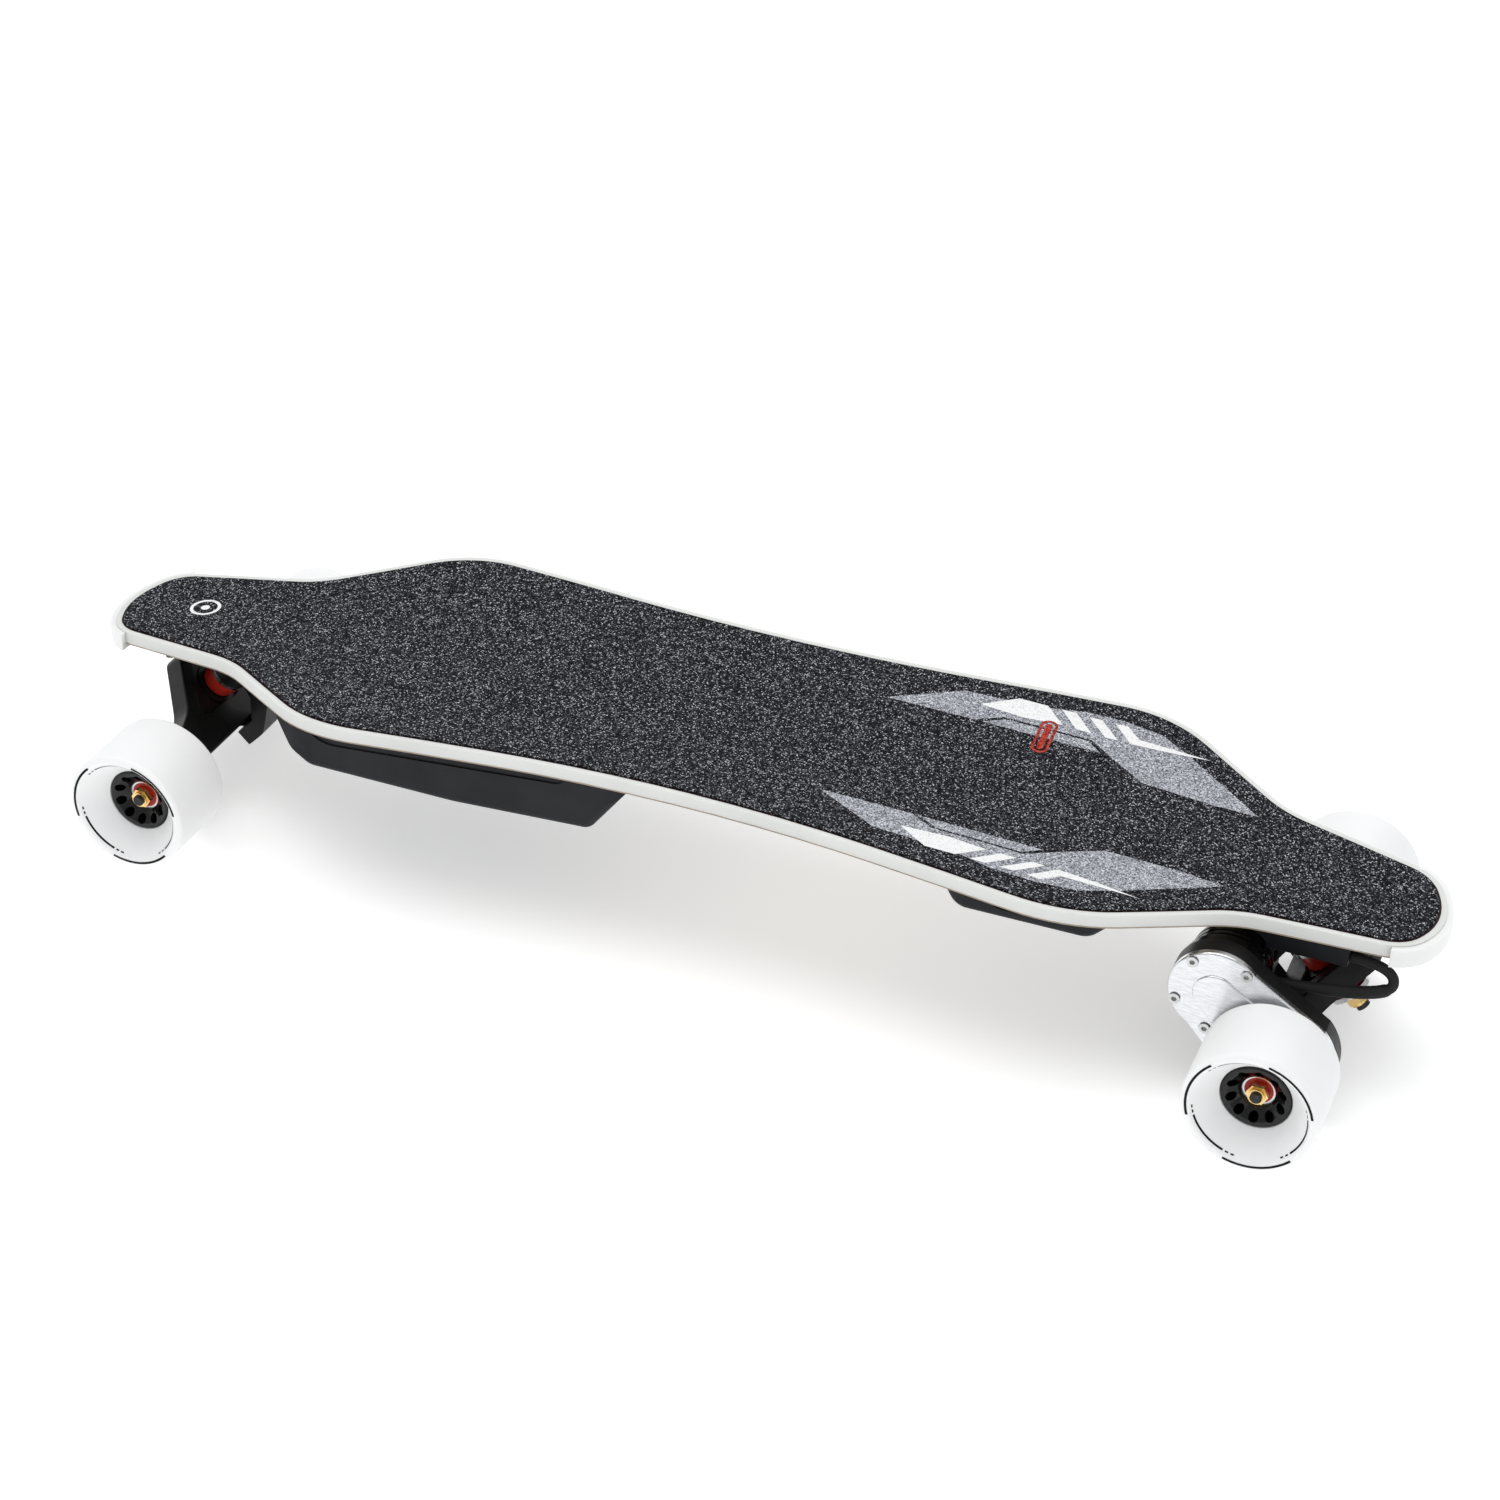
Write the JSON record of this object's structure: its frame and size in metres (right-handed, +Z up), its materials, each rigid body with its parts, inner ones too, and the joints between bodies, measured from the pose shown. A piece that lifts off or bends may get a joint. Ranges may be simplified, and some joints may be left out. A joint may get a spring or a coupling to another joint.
{
  "type": "electric skateboard",
  "caption": "Electric longboard with a gripped concave deck, pale edge rail, underslung battery and controller boxes, sprung trucks, white wheels and geared rear motors",
  "frame": {"origin": "on the ground midway between the two axles, under the middle of the deck", "axes": "+X along the board to the tail, the end with the motors; +Y across the board to the side with the power button; +Z up"},
  "size_m": [0.9908, 0.3044, 0.1496],
  "materials": {
    "grip": "coarse grit",
    "dark_veneer": "stained dark red veneer edge",
    "maple": "satin maple",
    "white_rail": "translucent satin urethane",
    "box_plastic": "fine moulded texture",
    "gasket_foam": "closed-cell foam",
    "cell_wrap": "shrink wrap",
    "circuit_board": "solder mask",
    "black_steel": "black oxide",
    "button_plastic": "satin",
    "soft_rubber": "matte",
    "pin_steel": "ground",
    "truck_black": "satin black",
    "gold_nut": "zinc and yellow chromate",
    "red_urethane": "translucent red urethane",
    "cup_urethane": "satin",
    "white_tyre": "satin white urethane",
    "core_black": "gloss",
    "motor_black": "gloss black",
    "cover_silver": "polished",
    "gear_steel": "machined",
    "copper_stack": "varnished winding"
  },
  "bodies": {
    "deck": {"baseplates": "truck_black", "battery_board": "circuit_board", "battery_cells": "cell_wrap", "battery_enclosure": "box_plastic", "bottom_veneer": "maple", "bushings": "red_urethane", "cable_guides": "box_plastic", "cap_hinge": "pin_steel", "charge_socket": "button_plastic", "controller_board": "circuit_board", "controller_enclosure": "box_plastic", "cup_washers": "pin_steel", "deck_core": "maple", "edge_rail": "white_rail", "enclosure_gaskets": "gasket_foam", "enclosure_screws": "black_steel", "end_bumpers": "white_rail", "grip_tape": "grip", "kingpin_nuts": "gold_nut", "kingpins": "black_steel", "motor_leads": "soft_rubber", "pivot_cups": "cup_urethane", "riser_pads": "soft_rubber", "top_veneer": "dark_veneer", "truck_bolts": "black_steel"},
    "front_hanger": {"front_hanger": "truck_black", "front_axle": "pin_steel", "front_axle_hardware": "gold_nut"},
    "rear_hanger": {"rear_hanger": "truck_black", "rear_axle": "pin_steel", "rear_axle_hardware": "gold_nut", "left_gear_plate": "truck_black", "right_gear_plate": "truck_black", "left_gear_cover": "cover_silver", "right_gear_cover": "cover_silver", "left_motor_case": "motor_black", "right_motor_case": "motor_black", "cover_screws": "pin_steel", "idler_pins": "pin_steel", "stators": "copper_stack"},
    "front_left_wheel": {"front_left_tyre": "white_tyre", "front_left_wheel_core": "core_black", "front_left_bearings": "pin_steel"},
    "front_right_wheel": {"front_right_tyre": "white_tyre", "front_right_wheel_core": "core_black", "front_right_bearings": "pin_steel"},
    "rear_left_wheel": {"rear_left_tyre": "white_tyre", "rear_left_wheel_core": "core_black", "rear_left_bearings": "pin_steel", "left_wheel_gear": "gear_steel"},
    "rear_right_wheel": {"rear_right_tyre": "white_tyre", "rear_right_wheel_core": "core_black", "rear_right_bearings": "pin_steel", "right_wheel_gear": "gear_steel"},
    "left_idler": {"left_idler_gear": "gear_steel"},
    "left_motor_rotor": {"left_rotor": "gear_steel"},
    "right_idler": {"right_idler_gear": "gear_steel"},
    "right_motor_rotor": {"right_rotor": "gear_steel"},
    "power_switch": {"power_button": "button_plastic"},
    "charge_flap": {"charge_cap": "soft_rubber"}
  },
  "joints": [
    {"name": "front_steer", "type": "hinge", "parent": "deck", "child": "front_hanger", "pos_m": [-0.40617, 0, 0.04716], "axis": [-0.7193, 0, 0.6947], "range_deg": [-15, 15], "stiffness_Nm_per_rad": 80, "deforming": ["bushings"]},
    {"name": "rear_steer", "type": "hinge", "parent": "deck", "child": "rear_hanger", "pos_m": [0.40617, 0, 0.04716], "axis": [0.7193, 0, 0.6947], "range_deg": [-7, 7], "stiffness_Nm_per_rad": 80, "deforming": ["bushings", "motor_leads"]},
    {"name": "front_left_wheel_spin", "type": "hinge", "parent": "front_hanger", "child": "front_left_wheel", "pos_m": [-0.40825, -0.1214, 0.045], "axis": [0, 1, 0], "continuous": true},
    {"name": "front_right_wheel_spin", "type": "hinge", "parent": "front_hanger", "child": "front_right_wheel", "pos_m": [-0.40825, 0.1214, 0.045], "axis": [0, 1, 0], "continuous": true},
    {"name": "rear_left_wheel_spin", "type": "hinge", "parent": "rear_hanger", "child": "rear_left_wheel", "pos_m": [0.40825, -0.1214, 0.045], "axis": [0, 1, 0], "continuous": true},
    {"name": "rear_right_wheel_spin", "type": "hinge", "parent": "rear_hanger", "child": "rear_right_wheel", "pos_m": [0.40825, 0.1214, 0.045], "axis": [0, 1, 0], "continuous": true},
    {"name": "left_idler_spin", "type": "hinge", "parent": "rear_hanger", "child": "left_idler", "pos_m": [0.37952, -0.0815, 0.0691], "axis": [0, 1, 0], "continuous": true},
    {"name": "left_motor_spin", "type": "hinge", "parent": "rear_hanger", "child": "left_motor_rotor", "pos_m": [0.36516, -0.05, 0.08116], "axis": [0, 1, 0], "continuous": true},
    {"name": "right_idler_spin", "type": "hinge", "parent": "rear_hanger", "child": "right_idler", "pos_m": [0.37952, 0.0815, 0.0691], "axis": [0, 1, 0], "continuous": true},
    {"name": "right_motor_spin", "type": "hinge", "parent": "rear_hanger", "child": "right_motor_rotor", "pos_m": [0.36516, 0.05, 0.08116], "axis": [0, 1, 0], "continuous": true},
    {"name": "power_press", "type": "slide", "parent": "deck", "child": "power_switch", "axis": [0, -1, 0], "range_m": [0, 0.001], "stiffness_N_per_m": 600},
    {"name": "charge_cap_swing", "type": "hinge", "parent": "deck", "child": "charge_flap", "pos_m": [-0.205, 0.0944, 0.107], "axis": [1, 0, 0], "range_deg": [0, 110]}
  ],
  "couplings": [
    {"joint": "left_idler_spin", "follows": "rear_left_wheel_spin", "ratio": -2.75},
    {"joint": "left_motor_spin", "follows": "rear_left_wheel_spin", "ratio": 3.1429},
    {"joint": "right_idler_spin", "follows": "rear_right_wheel_spin", "ratio": -2.75},
    {"joint": "right_motor_spin", "follows": "rear_right_wheel_spin", "ratio": 3.1429}
  ]
}
